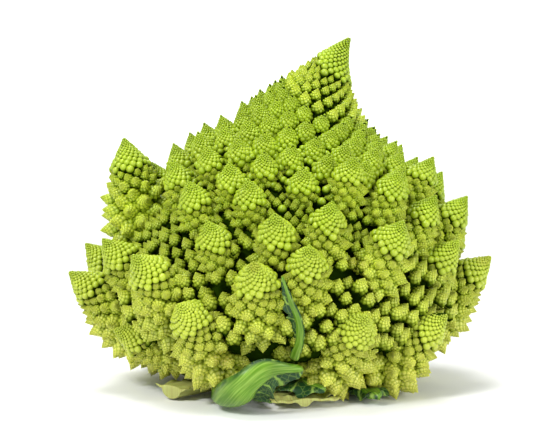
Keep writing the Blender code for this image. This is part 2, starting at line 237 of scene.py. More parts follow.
# Each leaf follows a route in millimetres, from the stalk outwards. Its upper side faces
# one way at the root and another at the tip. The midrib's half-width and the blade's
# width on either side are given at the root, halfway and at the tip.
LEAVES = {
    "leaf_front": dict(
        route=[
            (-10, -17.5, 7), (-20, -38, 7), (-19, -58, 8), (-13, -68, 15), (-4, -69, 20), (9, -65, 19),
        ],
        faces=[(0, 0, 1), (0.1, 0.9, 0.2)], rib=[5, 6, 1.5], left=[0.5, 9, 10], right=[0.5, 1, 1],
        droop=10, wave=0.8,
    ),
    "leaf_front_low": dict(
        route=[(5, -19, 9), (8, -32, 10), (12, -45, 9.5), (18, -51, 8)],
        faces=[(0, 0, 1), (0, -0.6, 0.8)], rib=[2.5, 2, 1], left=[1, 9, 3], right=[1, 9, 3],
        droop=15, wave=1,
    ),
    "petiole_front": dict(
        route=[(3, -19, 4), (6.5, -34, 3.8), (10, -52, 3.6)],
        faces=[(0, 0, 1), (0, -0.2, 1)], rib=[2.6, 2.6, 2.2], left=[4, 8, 10], right=[4, 8, 11],
        droop=0, wave=0,
    ),
    "leaf_inner": dict(
        route=[(6, -57, 22), (8, -63, 30), (7.5, -68, 38), (4.5, -72, 46), (1, -73.5, 56)],
        faces=[(0.3, 0.95, 0.1), (0.3, 0.95, 0.1)], rib=[1.6, 1.1, 0.4],
        left=[0.3, 0.5, 0.3], right=[0.5, 3.5, 1.5], droop=0, wave=0.2,
    ),
    "petiole_left": dict(
        route=[(-17.5, -7.5, 5.2), (-30, -19, 5.2), (-44, -34, 5)],
        faces=[(0, 0, 1), (0, 0, 1)], rib=[4.4, 4.4, 4.2], left=[2, 3, 4], right=[2, 4, 5],
        droop=0, wave=0,
    ),
    "leaf_left": dict(
        route=[(-19.2, 2, 7.6), (-34, -2, 8.8), (-48, -8, 10), (-56, -12, 14)],
        faces=[(0, 0, 1), (0.5, 0, 0.8)], rib=[4, 3.4, 2.4], left=[1, 5, 7], right=[1, 5, 4],
        droop=10, wave=1,
    ),
    "leaf_right": dict(
        route=[(16.5, -11.5, 6), (27, -24, 5.4), (36, -38, 4.8), (40, -47, 5)],
        faces=[(0, 0, 1), (-0.3, 0.2, 0.9)], rib=[4, 3, 1.6], left=[1, 3, 4], right=[1, 3, 3],
        droop=20, wave=1.4,
    ),
    "leaf_right_low": dict(
        route=[(19, -0.5, 6), (34, -4, 7), (50, -12, 8)],
        faces=[(0, 0, 1), (0, 0, 1)], rib=[4, 3, 1.5], left=[1, 5, 6], right=[1, 5, 6],
        droop=15, wave=1.4,
    ),
    "leaf_right_back": dict(
        route=[(17, 9, 7), (32, 18, 8), (50, 24, 10)],
        faces=[(0, 0, 1), (0, 0, 1)], rib=[4.4, 3.4, 1.5], left=[1, 7, 7], right=[1, 7, 7],
        droop=12, wave=1.4,
    ),
    "leaf_back": dict(
        route=[(1, 20, 7), (0, 36, 6.5), (-2, 52, 7), (-4, 62, 10)],
        faces=[(0, 0, 1), (0, -0.4, 0.9)], rib=[5, 4, 2], left=[1, 9, 8], right=[1, 7, 6],
        droop=12, wave=1.4,
    ),
    "leaf_back_left": dict(
        route=[(-15, 13, 7), (-28, 24, 7), (-42, 36, 9)],
        faces=[(0, 0, 1), (0, 0, 1)], rib=[4.6, 3.6, 1.8], left=[1, 8, 7], right=[1, 8, 7],
        droop=12, wave=1.4,
    ),
}
STEM_PIECES = ("petiole_front", "petiole_left")
ROUTE_STEPS = 12
LEAF_STATIONS = 56
BLADE_STEPS = 26
# How fast the torn edge and the ripples change along a leaf, for each millimetre, how far from
# the midrib the ripples are full, and how the blade waves from station to station.
TEAR_RATE = 0.35
TEAR_ROWS = (0, 5)
RIPPLE_RATE = 0.2
RIPPLE_ROW = 3
RIPPLE_REACH = 3
WAVE_STEP = 0.42
WAVE_RISE = 4
# A leaf's end is rounded off, and its blade thins to its edge by a power of the place on it.
TIP_WIDTH = 0.02
TIP_ROUNDING = 5
EDGE_FULL = 1.25
EDGE_POWER = 6
EDGE_LEAST = 0.3
# The midrib in its own half-widths: how wide it spreads, and how high and how deep it stands.
RIB_SPREAD = 1.25
RIB_ABOVE = 0.15
RIB_BELOW = 0.9

# The places and the radii of the browned spots.
BRUISES = [
    ((0.0295, -0.052, 0.056), 0.0065), ((-0.0225, -0.0565, 0.022), 0.006),
    ((-0.0095, -0.073, 0.0605), 0.004), ((0.0865, -0.003, 0.0545), 0.0055),
]
# The patches of each surface, and the scales of its fine noise.
CURD_PATCHES = {"Scale": 130.0, "Amount": 0.5}
STEM_PATCHES = {"Scale": 150.0, "Amount": 0.5}
BLADE_PATCHES = {"Scale": 110.0, "Amount": 0.9}
MIDRIB_PATCHES = {"Scale": 60.0, "Amount": 1.2}
FLOOR_PATCHES = {"Scale": 3.0, "Amount": 0.02}
CURD_GRAIN = 2600.0
STEM_FIBRES = 1700.0
LEAF_FIBRES = 1500.0
# The shader's inputs that are the same all over a surface.
CURD_FLESH = {
    "Subsurface Weight": 0.08, "Subsurface Radius": (0.8, 1.0, 0.2), "Subsurface Scale": 0.8 * MM,
}
STEM_FLESH = {
    "Subsurface Weight": 0.15, "Subsurface Radius": (0.9, 1.0, 0.5), "Subsurface Scale": 2 * MM,
}
LEAF_FLESH = {
    "Specular IOR Level": 0.3, "Subsurface Weight": 0.08, "Subsurface Scale": 1 * MM,
}
PAPER = {"Roughness": 0.9}
# Each surface's bump, by its strength and its height.
CURD_BUMP = (0.9, 0.34 * MM)
STEM_BUMP = (0.4, 0.3 * MM)
LEAF_BUMP = (0.6, 0.25 * MM)

# Ramps: the result at the low end and at the high end, and the two values where the ends are,
# which are 0 and 1 where they aren't given. These are the curd's.
# Painted light and shade: a bead's rim is painted darker than its top, a bud near the middle is painted in
# shade, and the painted light blends the gap's shade into the bud colour and the lit tip.
BEAD_LIGHT = (0.42, 1.0, 0.0, 0.8)
OPEN_LIGHT = (0.62, 1.0)
BUD_OVER_GAP = (0.0, 1.0, 0.0, 0.36)
TIP_OVER_BUD = (0.0, 1.0, 0.32, 0.9)
OLD_BUDS = (0.0, 0.22)
OLD_BUDS_BY_HEIGHT = (0.85, 0.0, 0.015, 0.08)
CURD_ROUGHNESS = (0.24, 0.42)
CURD_SPECULAR = (0.0, 0.6, 0.1, 0.6)
GRAIN_RISE = 0.25
# A bruise's edge, its strength by the light on a bud, and the scale, the reach and the least
# radius of its rags.
BRUISE_EDGE = (1.0, 0.0, 0.45, 1.0)
BRUISE_LIGHT = (0.0, 0.6)
BRUISE_RAGS = (420.0, 0.9, 0.55)
# The ramps of the stems. Fibres are noise that is squeezed along the stem to this share.
DRIED_FIBRES = (0.0, 0.55, 0.42, 0.68)
STEM_ROUGHNESS = (0.4, 0.6)
STEM_SQUEEZE = 0.06
# The ramps of the leaves. Side veins slant back from the midrib, wander by a noise of this
# scale and reach, and stand so many to the metre.
SIDE_VEIN_SLANT = 0.8
SIDE_VEIN_WANDER = (160.0, 0.008)
SIDE_VEINS = 105.0
SIDE_VEIN_EDGE = (1.0, 0.0, 0.03, 0.11)
VEIN_NET = {"Scale": 420.0, "Randomness": 0.9}
VEIN_NET_EDGE = (0.4, 0.0, 0.01, 0.08)
VEINS_BY_RIB = (1.0, 0.0, 0.05, 0.3)
VEIN_STRENGTH = 0.8
LEAF_ROUGHNESS = (0.38, 0.55)
MIDRIB_SQUEEZE = 0.05
MIDRIB_FIBRES = (0.0, 0.8, 0.42, 0.68)
MIDRIB_EDGE = (0.0, 1.0, 0.15, 0.55)
FIBRE_RISE = 0.5

# Each light's place, size, share of the key light's power, and the point that it faces.
HEAD_MIDDLE = (0, 0, 0.07)
LIGHTS = {
    "key": ((-0.6, -0.8, 0.85), 0.3, 1, HEAD_MIDDLE),
    "top": ((-0.15, 0.05, 1.1), 0.5, 0.75, HEAD_MIDDLE),
    "fill": ((0.95, -0.7, 0.4), 0.7, 0.85, HEAD_MIDDLE),
    "backdrop": ((0, 1.4, 1.6), 1.6, 4, (0, 3, 0.9)),
}
SKY_COLOUR = (0.95, 0.97, 1.0, 1)
SKY_STRENGTH = 0.5
CAMERA_TARGET = (0, 0, 0.0685)
FLOOR_REACH = 3
WALL_HEIGHT = 3
FOLD_RADIUS = 1.4
FOLD_SEGMENTS = 16


def smooth_line(points, steps):
    """A curve through the points, by Catmull and Rom's rule."""
    knots = [np.array(point, float) for point in points]
    knots = [2 * knots[0] - knots[1], *knots, 2 * knots[-1] - knots[-2]]
    line = []
    for a, b, c, d in zip(knots, knots[1:], knots[2:], knots[3:]):
        for step in range(steps):
            t = step / steps
            bend = (2 * a - 5 * b + 4 * c - d) * t**2 + (3 * b - a - 3 * c + d) * t**3
            line.append(b + 0.5 * ((c - a) * t + bend))
    return np.array([*line, knots[-2]])


def lengths_along(points):
    """Each point's length along the line from the first one."""
    return np.concatenate([[0], np.cumsum(np.linalg.norm(np.diff(points, axis=0), axis=1))])


class Outline:
    """A turned outline that is read by its length along the curve from the tip."""

    def __init__(self, points, unit=1):
        self.line = smooth_line(points, OUTLINE_STEPS) * unit
        steps = np.hypot(*np.diff(self.line, axis=0).T)
        self.along = np.concatenate([[0], np.cumsum(steps)])
        self.length = float(self.along[-1])

    def at(self, along):
        depth = np.interp(along, self.along, self.line[:, 0])
        radius = np.interp(along, self.along, self.line[:, 1])
        return float(depth), float(radius)

    def radius_at_depth(self, depth):
        return np.interp(depth, self.line[:, 0], self.line[:, 1])

    def spiral(self, first, area):
        """Steps down by the golden angle, each step on its own area of the surface."""
        along, number = first, 0
        while along < self.length:
            depth, radius = self.at(along)
            yield along, depth, radius, number * GOLDEN_ANGLE
            along += area(along, radius) / (math.tau * radius)
            number += 1


def read_table(table, place):
    places, values = zip(*table)
    return float(np.interp(place, places, values))


def basis_along(axis, turn):
    """Three columns: two sideways directions turned about the axis, and the axis."""
    side = np.cross(axis, (0.0, 0.0, 1.0) if abs(axis[2]) < 0.9 else (1.0, 0.0, 0.0))
    side /= np.linalg.norm(side)
    turned = math.cos(turn) * side + math.sin(turn) * np.cross(axis, side)
    return np.column_stack([turned, np.cross(axis, turned), axis])


def grown_width(number, place, turn):
    """A floret's width, from its number, its place along the head and its turn round it."""
    fade = min(1.0, max(0.0, (CROWN_STRETCH_END - place) / CROWN_STRETCH_FADE))
    stretch = CROWN_STRETCH * max(0.0, -math.cos(turn)) * fade
    width = read_table(FLORET_WIDTHS, place * (1 + stretch)) * MM
    return width * FLORET_GROWTH.get(number, 1) * read_table(FLORET_ROOM, place)


class Floret:
    """Where one floret stands: its tip, its axis, its width and its own turn."""

    def __init__(self, number, tip, axis, width, turn):
        self.number = number
        self.tip = np.array(tip)
        self.axis = np.array(axis)
        self.width = width
        self.basis = basis_along(self.axis, turn)

    def foot(self, depth):
        return self.tip - self.axis * depth * self.width

    def crowds(self, other):
        return np.linalg.norm(other.tip - self.tip) < CROWDING * self.width


class Head:
    """The leaning head that every floret is placed on."""

    def __init__(self, settings):
        self.height = settings.head_height
        self.sway = settings.tip_sway
        self.lean_at_tip = settings.tip_lean
        self.outline = Outline(HEAD_OUTLINE, MM)

    def spine_x(self, height):
        share = max(0.0, (height - SPINE_SWAY_FROM) / (self.height - SPINE_SWAY_FROM))
        return self.sway * share**SPINE_SWAY_POWER

    def lean(self, height, turn):
        start = LEAN_FROM_RIGHT if math.cos(turn) > 0 else LEAN_FROM_LEFT
        return self.lean_at_tip * max(0.0, (height - start) / (self.height - start)) ** LEAN_POWER

    def point(self, radius, turn, height):
        """A point of the leaning head, from its place on the upright one."""
        angle = self.lean(height, turn)
        across = radius * math.cos(turn)
        hook = max(0.0, 1 - (self.height - height) / HOOK_DEPTH) ** 2
        x = self.spine_x(height) + across * math.cos(angle) + hook * HOOK_REACH[0]
        z = height - across * math.sin(angle) + hook * HOOK_REACH[1]
        return Vector((x, HEAD_DEPTH_RATIO * radius * math.sin(turn), z))

    def direction(self, turn, slope, height):
        flat = math.cos(slope)
        upright = Vector((flat * math.cos(turn), flat * math.sin(turn), math.sin(slope)))
        return Matrix.Rotation(self.lean(height, turn), 3, "Y") @ upright

    def point_under(self, along, turn, share):
        """A point below the outline by a share of the florets' width there."""
        depth, radius = self.outline.at(along)
        slope = math.radians(read_table(FLORET_SLOPES, along / MM))
        inset = share * max(LEAST_INSET_WIDTH, read_table(FLORET_WIDTHS, along / MM)) * MM
        height = self.height - depth - inset * math.sin(slope)
        return self.point(max(0, radius - inset * math.cos(slope)), turn, height)

    def florets(self):
        """Every floret, from the lowest up to the last tiny bud at the tip."""
        along, number, found = self.outline.length, 0, []
        while along > FIRST_CROWN_BUD:
            place = along / MM
            width = read_table(FLORET_WIDTHS, place) * MM
            depth, radius = self.outline.at(along)
            if number not in MISSING_FLORETS:
                turn_more, outwards, upwards = FLORET_SHIFTS.get(number, (0, 0, 0))
                slope = FLORET_SLOPE_CHANGES.get(number, read_table(FLORET_SLOPES, place))
                turn = LOWEST_FLORET_TURN - number * GOLDEN_ANGLE + math.radians(turn_more)
                height = self.height - depth + upwards * MM
                tip = self.point(radius + outwards * MM, turn, height)
                axis = self.direction(turn, math.radians(slope), height)
                floret = Floret(number, tip, axis, grown_width(number, place, turn), turn)
                if not any(floret.crowds(other) for other in found[-CROWDING_NEIGHBOURS:]):
                    found.append(floret)
            along -= FLORET_PACKING * width**2 / (math.tau * radius)
            number += 1
        return found


def spiral_body(points, spirals, first, rise):
    """A closed body whose skin is a spiral of four-sided cells, each raised to a bump.

    The cells' corners step round by the golden angle, and the two numbers of spirals say
    which corners are neighbours. Each cell fills the UV square, for the bead drawn in it.
    """
    outline = Outline(points)
    near, far = spirals
    ring = near + far
    mesh = bmesh.new()
    painted_light = mesh.verts.layers.float.new("painted_light")
    square = mesh.loops.layers.uv.new("cell")
    corners = []
    cell = math.tau**2 / (near**2 + far**2)
    for _, depth, radius, turn in outline.spiral(first, lambda along, radius: cell * radius**2):
        corners.append(mesh.verts.new((radius * math.cos(turn), radius * math.sin(turn), -depth)))
    cells = []
    for number in range(len(corners) - ring):
        steps = (number, number + near, number + ring, number + far)
        cells.append(mesh.faces.new([corners[step] for step in steps]))
        for loop, place in zip(cells[-1].loops, CELL_CORNERS):
            loop[square].uv = place
    for end_depth, start in ((0, 0), (outline.line[-1][0], len(corners) - ring)):
        numbers = sorted(range(start, start + ring), key=lambda number: number * GOLDEN_ANGLE % math.tau)
        end = mesh.verts.new((0, 0, -end_depth))
        for a, b in zip(numbers, numbers[1:] + numbers[:1]):
            cap = mesh.faces.new((end, corners[a], corners[b]))
            for loop, place in zip(cap.loops, (CELL_MIDDLE, CELL_EDGE, CELL_EDGE)):
                loop[square].uv = place
    bmesh.ops.recalc_face_normals(mesh, faces=mesh.faces)
    if mesh.calc_volume(signed=True) < 0:
        bmesh.ops.reverse_faces(mesh, faces=mesh.faces)
    raised = bmesh.ops.poke(mesh, faces=cells, offset=rise, center_mode="MEAN", use_relative_offset=True)
    for vert in raised["verts"]:
        for loop in vert.link_loops:
            loop[square].uv = CELL_MIDDLE
    shade_down(mesh, painted_light, BUD_SHADED_TO, BUD_SHADE, 1.0)
    return mesh


def shade_down(mesh, painted_light, shaded_to, over, brightness):
    """Sets each point's painted light: full at a bud's tip, with painted shade down to where it is dark."""
    for vert in mesh.verts:
        vert[painted_light] = brightness * min(1.0, max(0.0, (shaded_to + vert.co.z) / over))


def ball_body(subdivisions):
    """A small smooth bud, a little longer than wide, with its tip at the origin."""
    mesh = bmesh.new()
    painted_light = mesh.verts.layers.float.new("painted_light")
    square = mesh.loops.layers.uv.new("cell")
    bmesh.ops.create_icosphere(mesh, subdivisions=subdivisions, radius=BALL_RADIUS)
    bmesh.ops.scale(mesh, vec=(1, 1, BALL_STRETCH), verts=mesh.verts)
    bmesh.ops.translate(mesh, vec=(0, 0, -BALL_MIDDLE), verts=mesh.verts)
    for face in mesh.faces:
        for loop in face.loops:
            loop[square].uv = CELL_MIDDLE
    shade_down(mesh, painted_light, BALL_SHADED_TO, BALL_SHADE, BALL_BRIGHTNESS)
    return mesh


def spun_body(points, steps):
    """A closed body of revolution, from its outline of (depth, radius) points."""
    mesh = bmesh.new()
    profile = [mesh.verts.new((radius, 0, -depth)) for depth, radius in [*points, (points[-1][0], 0)]]
    edges = [mesh.edges.new(pair) for pair in zip(profile, profile[1:])]
    bmesh.ops.spin(
        mesh, geom=[*profile, *edges], cent=(0, 0, 0), axis=(0, 0, 1), angle=math.tau,
        steps=steps, use_merge=True,
    )
    bmesh.ops.remove_doubles(mesh, verts=mesh.verts, dist=SAME_PLACE)
    bmesh.ops.recalc_face_normals(mesh, faces=mesh.faces)
    return mesh


class Template:
    """A small mesh whose copies are laid, turned and scaled, into a larger one."""

    def __init__(self, name, mesh):
        for layer in ("painted_light", "tone", "open"):
            if layer not in mesh.verts.layers.float:
                mesh.verts.layers.float.new(layer)
        for face in mesh.faces:
            face.smooth = True
        self.data = bpy.data.meshes.new(name)
        mesh.to_mesh(self.data)
        mesh.free()
        points = np.empty(3 * len(self.data.vertices), np.float32)
        self.data.vertices.foreach_get("co", points)
        self.points = points.reshape(-1, 3)

    def lay(self, target, basis, origin, tone, openness):
        """Adds a copy, lifted so far that it stays clear of the floor."""
        moved = self.points @ basis.T.astype(np.float32) + np.asarray(origin, np.float32)
        moved[:, 2] += max(0.0, REST_HEIGHT - float(moved[:, 2].min()))
        self.data.vertices.foreach_set("co", moved.ravel())
        for layer, value in (("tone", tone), ("open", openness)):
            self.data.attributes[layer].data.foreach_set("value", np.full(len(moved), value, np.float32))
        target.from_mesh(self.data, face_normals=False, vertex_normals=False)


class Buds:
    """The three kinds of bud. Each bud's width says which one is laid."""

    def __init__(self):
        bumpy = spiral_body(BUD_OUTLINE, BUD_SPIRALS, BUD_SPIRALS_FROM, BEAD_RISE)
        self.kinds = [
            (BUMPY_FROM, Template("bud_bumpy", bumpy)),
            (SMOOTH_FROM, Template("bud_smooth", ball_body(2))),
            (0, Template("bud_dot", ball_body(1))),
        ]

    def lay(self, mesh, tip, axis, width, draw, openness):
        template = next(template for least, template in self.kinds if width >= least)
        basis = basis_along(axis, draw.uniform(0, math.tau))
        template.lay(mesh, basis * width, tip, draw.random(), openness)


class Grower:
    """Grows the florets and the buds between them, without those that nobody can see."""

    def __init__(self, head, florets):
        self.florets = florets
        self.outline = Outline(FLORET_OUTLINE)
        self.core = Template("floret_core", spun_body(CORE_OUTLINE, FLORET_CORE_SIDES))
        self.buds = Buds()
        middle = core_mesh(head, SEEN_DEPTH)
        self.middle = BVHTree.FromBMesh(middle)
        middle.free()

    def clearances(self, points, floret=None):
        """How far each point stands clear of the middle, near which buds are painted in shade, or less than 0
        if it is hidden.
        """
        hidden = np.zeros(len(points), bool)
        for other in self.florets:
            if other is floret:
                continue
            away = points - other.tip
            depth = -(away @ other.axis)
            across = np.linalg.norm(away + np.outer(depth, other.axis), axis=1)
            limit = HIDDEN_SHARE * other.width * self.outline.radius_at_depth(depth / other.width)
            hidden |= (depth > 0) & (depth < HIDDEN_DEPTH * other.width) & (across < limit)
        clear = np.full(len(points), -1.0)
        for row in np.flatnonzero(~hidden):
            nearest, normal, _, _ = self.middle.find_nearest(points[row])
            clear[row] = (Vector(points[row]) - nearest).dot(normal)
        return clear

    def grow_floret(self, mesh, floret):
        """Lays one floret's buds and its core."""
        draw = random.Random(floret.number)
        tips, axes, widths = [], [], []
        least = SMALLEST_BUD / floret.width
        for along, depth, radius, turn in self.outline.spiral(
            FIRST_BUD, lambda along, radius: BUD_PACKING * max(least, read_table(BUD_WIDTHS, along)) ** 2,
        ):
            spacing = max(least, read_table(BUD_WIDTHS, along))
            tilt = draw.uniform(-BUD_SLOPE_SPREAD, BUD_SLOPE_SPREAD)
            slope = math.radians(read_table(BUD_SLOPES, along) + tilt)
            outward = np.array((math.cos(turn), math.sin(turn), 0))
            upward = np.array((0, 0, 1))
            further = draw.uniform(-BUD_OUT_SPREAD, BUD_OUT_SPREAD) * spacing
            tips.append(outward * (radius + further) - upward * depth)
            axes.append(outward * math.cos(slope) + upward * math.sin(slope))
            widths.append(spacing * draw.uniform(*BUD_WIDTH_SPREAD))
        basis = floret.basis * floret.width
        basis[:, 2] *= read_table(FLORET_HEIGHTS, floret.width / MM)
        tips = np.array(tips) @ basis.T + floret.tip
        axes = np.array(axes) @ floret.basis.T
        widths = np.array(widths) * floret.width
        clear = self.clearances(tips - axes * (BUD_MIDDLE * widths)[:, None], floret)
        for row in np.flatnonzero(clear >= 0):
            # A bud near the middle is painted in shade by its openness.
            openness = min(1.0, clear[row] / (OPEN_FROM * floret.width))
            self.buds.lay(mesh, tips[row], axes[row], widths[row], draw, openness)
        # The core has no painted light and no openness, so it is painted in the gaps' shade colour.
        self.core.lay(mesh, basis, floret.tip, tone=0.5, openness=0.0)

    def grow_gap_buds(self, mesh, head):
        """Lays buds deep between the florets, where no floret covers them."""
        draw = random.Random(GAP_BUD_SEED)
        tips, axes, widths = [], [], []
        for along, depth, radius, turn in head.outline.spiral(GAP_BUDS_FROM, gap_bud_width_squared):
            tip = head.point_under(along, turn, draw.uniform(*GAP_BUD_INSET))
            slope = math.radians(read_table(FLORET_SLOPES, along / MM))
            tips.append(tip)
            axes.append(head.direction(turn, slope, tip.z))
            widths.append(math.sqrt(gap_bud_width_squared(along, radius)) * draw.uniform(*GAP_BUD_SPREAD))
        clear = self.clearances(np.array(tips))
        for row in np.flatnonzero(clear >= 0):
            # A gap bud near the middle is painted in shade by its openness.
            openness = min(1.0, clear[row] * GAP_BUD_SHARE / (OPEN_FROM * widths[row]))
            self.buds.lay(mesh, tips[row], np.array(axes[row]), widths[row], draw, openness)


def core_mesh(head, inset):
    """A closed body under the florets' tips by a share of their width."""
    mesh = bmesh.new()
    bmesh.ops.create_uvsphere(mesh, u_segments=CORE_SIDES, v_segments=CORE_RINGS, radius=1)
    for vert in mesh.verts:
        share = math.acos(max(-1.0, min(1.0, vert.co.z))) / math.pi
        vert.co = core_point(head, inset, share, math.atan2(vert.co.y, vert.co.x))
    for face in mesh.faces:
        face.smooth = True
    bmesh.ops.recalc_face_normals(mesh, faces=mesh.faces)
    return mesh


def core_point(head, inset, share, turn):
    """Down the outside of the head, then in under it to the neck."""
    point = head.point_under(min(1.0, share / CORE_OUTSIDE) * head.outline.length, turn, inset)
    if share <= CORE_OUTSIDE:
        return point
    neck = Vector((NECK_RADIUS * math.cos(turn), NECK_RADIUS * math.sin(turn), NECK_HEIGHT))
    inwards = (share - CORE_OUTSIDE) / CORE_UNDERSIDE
    if inwards < 1:
        return point.lerp(neck, inwards)
    return neck.lerp(Vector((0, 0, NECK_HEIGHT)), inwards - 1)


def gap_bud_width_squared(along, radius):
    return (GAP_BUD_SHARE * read_table(FLORET_WIDTHS, along / MM) * MM) ** 2


def new_piece(name, mesh, material, slot, replaced):
    """Finishes a mesh as a piece that rides on the body and stands for its CAD node."""
    data = bpy.data.meshes.new(name)
    mesh.to_mesh(data)
    mesh.free()
    data.materials.append(material)
    piece = bpy.data.objects.new(name, data)
    bpy.context.scene.collection.objects.link(piece)
    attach(piece, "root")
    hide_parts(replaced)
    return piece


def sheath(rings, layers):
    """A closed tube through rings of points, with a float layer for each array given."""
    stations, around = rings.shape[:2]
    mesh = bmesh.new()
    keys = [mesh.verts.layers.float.new(layer) for layer in layers]
    bmesh.ops.create_grid(mesh, x_segments=around, y_segments=stations - 1, size=1)
    mesh.verts.ensure_lookup_table()
    for index, vert in enumerate(mesh.verts):
        station, corner = divmod(index, around + 1)
        vert.co = rings[station, corner % around]
        for key, values in zip(keys, layers.values()):
            vert[key] = values[station, corner % around]
    bmesh.ops.remove_doubles(mesh, verts=mesh.verts, dist=SAME_PLACE)
    bmesh.ops.holes_fill(mesh, edges=[edge for edge in mesh.edges if edge.is_boundary], sides=0)
    bmesh.ops.recalc_face_normals(mesh, faces=mesh.faces)
    for face in mesh.faces:
        face.smooth = len(face.verts) == 4
    return mesh


class Leaf:
    """One leaf or leaf stalk, as rings of points along its route. Its lengths are in millimetres."""

    def __init__(self, name, settings):
        self.settings = settings
        self.shape = LEAVES[name]
        self.is_stem = name in STEM_PIECES
        self.seed = 10 * list(LEAVES).index(name)
        self.shares = np.linspace(0, 1, LEAF_STATIONS)
        line = smooth_line(self.shape["route"], ROUTE_STEPS)
        places = np.linspace(0, 1, len(line))
        self.centres = np.column_stack([np.interp(self.shares, places, column) for column in line.T])
        self.lengths = lengths_along(self.centres)

    def measure(self, key, share):
        return float(np.interp(share, (0, 0.5, 1), self.shape[key]))

    def reach(self, station, key, row):
        """How far the blade reaches out from the midrib on one side, with its torn edge."""
        place = Vector((self.seed + self.lengths[station] * TEAR_RATE, row, 0))
        torn = 1 + self.settings.torn_edge * noise.noise(place)
        return self.measure(key, self.shares[station]) * torn

    def ripples(self, station, across):
        along = self.lengths[station] * RIPPLE_RATE
        places = [(self.seed + place * RIPPLE_RATE, along, RIPPLE_ROW) for place in across]
        return np.array([noise.noise(Vector(place)) for place in places])

    def section(self, station):
        """Places across, heights and the midrib's roundness, over the top and back underneath."""
        share = self.shares[station]
        side = np.linspace(-1, 1, BLADE_STEPS)
        rib = self.measure("rib", share)
        left, right = (
            self.reach(station, key, row) + rib for key, row in zip(("left", "right"), TEAR_ROWS)
        )
        swing = self.shape["wave"] * math.sin(station * WAVE_STEP + self.seed)
        wave = swing * min(1, WAVE_RISE * share) * -side
        taper = 1 if self.is_stem else math.sqrt(min(1, TIP_WIDTH + TIP_ROUNDING * (1 - share)))
        rib *= math.sqrt(taper)
        across = side * taper * np.where(side < 0, left, right)
        beyond = np.maximum(0, np.abs(across) - rib)
        fall = math.tan(math.radians(self.shape["droop"]))
        ripple = self.settings.blade_ripple / MM * self.ripples(station, across)
        middle = wave - fall * beyond + ripple * np.minimum(1, beyond / RIPPLE_REACH)
        round_rib = np.sqrt(np.maximum(0, 1 - (across / (RIB_SPREAD * rib)) ** 2))
        thinned = np.clip(EDGE_FULL - np.abs(side) ** EDGE_POWER, EDGE_LEAST, 1)
        half = self.settings.blade_thickness / MM / 2 * thinned
        top = middle + half + RIB_ABOVE * rib * round_rib
        low = middle - half - RIB_BELOW * rib * round_rib
        pairs = ((across, across), (top, low), (round_rib, round_rib))
        return [np.concatenate([over, under[::-1]]) for over, under in pairs]

    def rings(self):
        """Every ring of points, in metres, and the layers that the veins are drawn from."""
        aheads = np.gradient(self.centres, axis=0)
        root_face, tip_face = (Vector(face) for face in self.shape["faces"])
        rings, across_all, rib_all = [], [], []
        for station, share in enumerate(self.shares):
            across, high, round_rib = self.section(station)
            ahead = Vector(aheads[station]).normalized()
            sideways = ahead.cross(root_face.lerp(tip_face, share)).normalized()
            upwards = np.array(sideways.cross(ahead).normalized())
            flat = self.centres[station] + across[:, None] * np.array(sideways)
            rings.append(flat + high[:, None] * upwards)
            across_all.append(across)
            rib_all.append(round_rib)
        along = np.repeat(self.lengths[:, None], 2 * BLADE_STEPS, axis=1)
        layers = {"across": np.array(across_all) * MM, "along": along * MM, "rib": np.array(rib_all)}
        return np.array(rings) * MM, layers


class Nodes:
    """Adds and joins the nodes of one material or node group."""

    def __init__(self, tree):
        self.tree = tree

    def add(self, kind, inputs=(), **settings):
        node = self.tree.nodes.new("ShaderNode" + kind)
        for name, value in settings.items():
            setattr(node, name, value)
        for socket, value in dict(inputs).items():
            self.feed(node.inputs[socket], value)
        return node

    def feed(self, socket, value):
        if isinstance(value, bpy.types.NodeSocket):
            self.tree.links.new(value, socket)
        elif hasattr(value, "__len__") and len(socket.default_value) == 4 and len(value) == 3:
            socket.default_value = (*value, 1)
        else:
            socket.default_value = value

    def math(self, operation, first, second=0.0, third=0.0):
        node = self.add("Math", {0: first, 1: second, 2: third}, operation=operation)
        return node.outputs[0]

    def mix(self, share, first, second, blend="MIX"):
        node = self.add("Mix", data_type="RGBA", blend_type=blend)
        for socket, value in ((0, share), (6, first), (7, second)):
            self.feed(node.inputs[socket], value)
        return node.outputs[2]

    def between(self, value, low, high, from_low=0.0, from_high=1.0):
        """Maps a value from one range to another, and holds it inside that range."""
        inputs = {"Value": value, "From Min": from_low, "From Max": from_high, "To Min": low, "To Max": high}
        return self.add("MapRange", inputs).outputs[0]

    def noise(self, vector, scale, detail=2.0):
        return self.add("TexNoise", {"Vector": vector, "Scale": scale, "Detail": detail}).outputs[0]

    def attribute(self, name):
        return self.add("Attribute", attribute_name=name).outputs["Fac"]

    def place(self):
        return self.add("TexCoord").outputs["Object"]

    def lengthways(self, across, along, share):
        """Places over a surface, squeezed along it so that noise there turns into fibres."""
        return self.add("CombineXYZ", {0: across, 1: self.math("MULTIPLY", along, share)}).outputs[0]

    def group(self, tree, inputs):
        node = self.add("Group", node_tree=tree)
        for socket, value in inputs.items():
            self.feed(node.inputs[socket], value)
        return node.outputs[0]


def new_group(name, inputs, output):
    """An empty shader node group with named sockets, and its input and output nodes."""
    tree = bpy.data.node_groups.new(name, "ShaderNodeTree")
    for socket, kind in inputs.items():
        tree.interface.new_socket(socket, in_out="INPUT", socket_type="NodeSocket" + kind)
    tree.interface.new_socket(output[0], in_out="OUTPUT", socket_type="NodeSocket" + output[1])
    nodes = Nodes(tree)
    return tree, nodes, tree.nodes.new("NodeGroupInput").outputs, tree.nodes.new("NodeGroupOutput").inputs


def mottle_group():
    """Soft patches of lighter and darker colour over a grown surface."""
    tree, nodes, given, result = new_group(
        "Mottle", {"Colour": "Color", "Scale": "Float", "Amount": "Float"}, ("Colour", "Color"),
    )
    patches = nodes.noise(nodes.place(), given["Scale"], 3)
    gain = nodes.math("MULTIPLY_ADD", nodes.math("SUBTRACT", patches, 0.5), given["Amount"], 1.0)
    shade = nodes.add("CombineColor", {0: gain, 1: gain, 2: gain}).outputs[0]
    nodes.feed(result[0], nodes.mix(1.0, given["Colour"], shade, "MULTIPLY"))
    return tree


